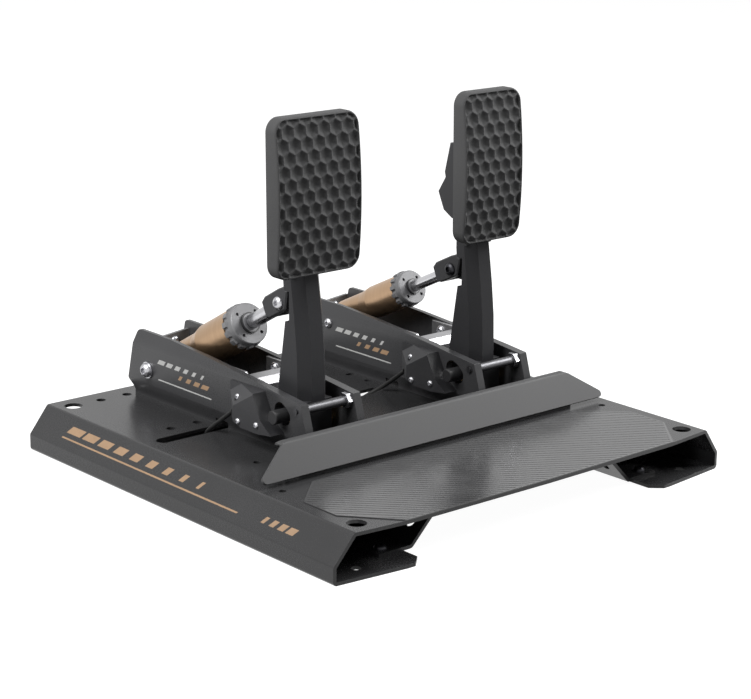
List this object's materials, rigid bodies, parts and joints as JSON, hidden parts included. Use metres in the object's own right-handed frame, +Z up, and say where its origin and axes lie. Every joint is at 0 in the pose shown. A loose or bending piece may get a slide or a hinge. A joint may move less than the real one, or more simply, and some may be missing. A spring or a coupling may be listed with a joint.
{
  "type": "sim racing pedal set",
  "caption": "Brake and throttle pedals for a driving simulator, on a folded steel base with a heel rest, pad faces on tall arms, damping cylinders and position sensors.",
  "frame": {"origin": "on the floor, under the centre of the base", "axes": "X to the user's right, Y away from the user, Z up; the heel side of the base faces -Y"},
  "size_m": [0.4378, 0.4268, 0.3215],
  "materials": {
    "coated_steel": "satin powder coat",
    "plate_aluminium": "satin black",
    "arm_aluminium": "satin black",
    "coated_aluminium": "satin black",
    "pad_aluminium": "fine texture black",
    "bronze_aluminium": "bronze anodised",
    "grey_aluminium": "grey anodised",
    "bare_aluminium": "brushed",
    "bright_steel": "polished",
    "black_steel": "black oxide",
    "rod_steel": "ground",
    "spring_steel": "drawn wire",
    "bush_bronze": "sintered",
    "black_plastic": "moulded",
    "sensor_plastic": "fine texture",
    "circuit_board": "lacquered",
    "elastomer": "cast",
    "mat_rubber": "ribbed",
    "lead_rubber": "smooth"
  },
  "bodies": {
    "frame": {"base_plate": "coated_steel", "left_stiffener": "coated_steel", "right_stiffener": "coated_steel", "stiffener_bolts": "bright_steel", "heel_rest": "coated_steel", "heel_rest_screws": "bright_steel", "heel_mat": "mat_rubber", "brake_left_plate": "plate_aluminium", "brake_right_plate": "plate_aluminium", "throttle_left_plate": "plate_aluminium", "throttle_right_plate": "plate_aluminium", "pedal_mount_screws": "bright_steel", "brake_cross_bracket": "bare_aluminium", "throttle_cross_bracket": "bare_aluminium", "brake_rear_bridge": "coated_aluminium", "throttle_rear_bridge": "coated_aluminium", "bracket_screws": "bright_steel", "tie_rods": "bright_steel", "tie_nuts": "bright_steel", "pivot_axles": "bright_steel", "rear_pivot_bolts": "bright_steel", "rear_pivot_nuts": "bright_steel", "pivot_spacers": "bare_aluminium", "brake_sensor_housing": "sensor_plastic", "brake_sensor_lid": "sensor_plastic", "brake_sensor_board": "circuit_board", "throttle_sensor_housing": "sensor_plastic", "throttle_sensor_lid": "sensor_plastic", "throttle_sensor_board": "circuit_board", "sensor_screws": "bright_steel", "link_lead": "lead_rubber", "lead_clips": "black_plastic"},
    "brake_arm": {"brake_arm": "arm_aluminium", "brake_arm_bushes": "bush_bronze", "brake_magnet_post": "black_plastic", "brake_pad_holder": "coated_aluminium", "brake_pad": "pad_aluminium", "brake_pad_screws": "bright_steel"},
    "throttle_arm": {"throttle_arm": "arm_aluminium", "throttle_arm_bushes": "bush_bronze", "throttle_magnet_post": "black_plastic", "throttle_pad_holder": "coated_aluminium", "throttle_pad": "pad_aluminium", "throttle_pad_screws": "bright_steel"},
    "brake_cylinder": {"brake_cylinder": "bronze_aluminium", "brake_front_plug": "black_plastic", "brake_retaining_ring": "black_steel", "brake_elastomers": "elastomer"},
    "throttle_cylinder": {"throttle_cylinder": "bronze_aluminium", "throttle_front_plug": "black_plastic", "throttle_retaining_ring": "black_steel", "throttle_spring": "spring_steel"},
    "brake_preload_ring": {"brake_preload_ring": "grey_aluminium"},
    "throttle_preload_ring": {"throttle_preload_ring": "grey_aluminium"},
    "brake_rod": {"brake_push_rod": "rod_steel", "brake_clevis": "coated_aluminium", "brake_clevis_pin": "bright_steel"},
    "throttle_rod": {"throttle_push_rod": "rod_steel", "throttle_clevis": "coated_aluminium", "throttle_clevis_pin": "bright_steel"}
  },
  "joints": [
    {"name": "brake_pedal_hinge", "type": "hinge", "parent": "frame", "child": "brake_arm", "pos_m": [-0.0922, -0.015, 0.058], "axis": [-1, 0, 0], "range_deg": [0, 10], "stiffness_Nm_per_rad": 150, "springref_deg": -2.86},
    {"name": "throttle_pedal_hinge", "type": "hinge", "parent": "frame", "child": "throttle_arm", "pos_m": [0.1032, -0.015, 0.058], "axis": [-1, 0, 0], "range_deg": [0, 15], "stiffness_Nm_per_rad": 20, "springref_deg": -8.59},
    {"name": "brake_cylinder_tilt", "type": "hinge", "parent": "frame", "child": "brake_cylinder", "pos_m": [-0.0922, 0.1656, 0.068], "axis": [-1, 0, 0], "range_deg": [0, 1.5]},
    {"name": "throttle_cylinder_tilt", "type": "hinge", "parent": "frame", "child": "throttle_cylinder", "pos_m": [0.1032, 0.177, 0.0754], "axis": [-1, 0, 0], "range_deg": [0, 1.3]},
    {"name": "brake_rod_slide", "type": "slide", "parent": "brake_cylinder", "child": "brake_rod", "axis": [0, -0.8711, 0.4912], "range_m": [-0.018, 0], "deforming": ["brake_elastomers"]},
    {"name": "throttle_rod_slide", "type": "slide", "parent": "throttle_cylinder", "child": "throttle_rod", "axis": [0, -0.9005, 0.4349], "range_m": [-0.0275, 0], "deforming": ["throttle_spring"]},
    {"name": "brake_ring_turn", "type": "hinge", "parent": "brake_cylinder", "child": "brake_preload_ring", "pos_m": [-0.0922, 0.06543, 0.12449], "axis": [0, -0.8711, 0.4912], "continuous": true},
    {"name": "throttle_ring_turn", "type": "hinge", "parent": "throttle_cylinder", "child": "throttle_preload_ring", "pos_m": [0.1032, 0.07345, 0.12542], "axis": [0, -0.9005, 0.4349], "continuous": true}
  ],
  "couplings": [
    {"joint": "brake_cylinder_tilt", "follows": "brake_pedal_hinge", "ratio": 0.14},
    {"joint": "throttle_cylinder_tilt", "follows": "throttle_pedal_hinge", "ratio": 0.082},
    {"joint": "brake_rod_slide", "follows": "brake_pedal_hinge", "m_per_rad": -0.099},
    {"joint": "throttle_rod_slide", "follows": "throttle_pedal_hinge", "m_per_rad": -0.1012}
  ]
}
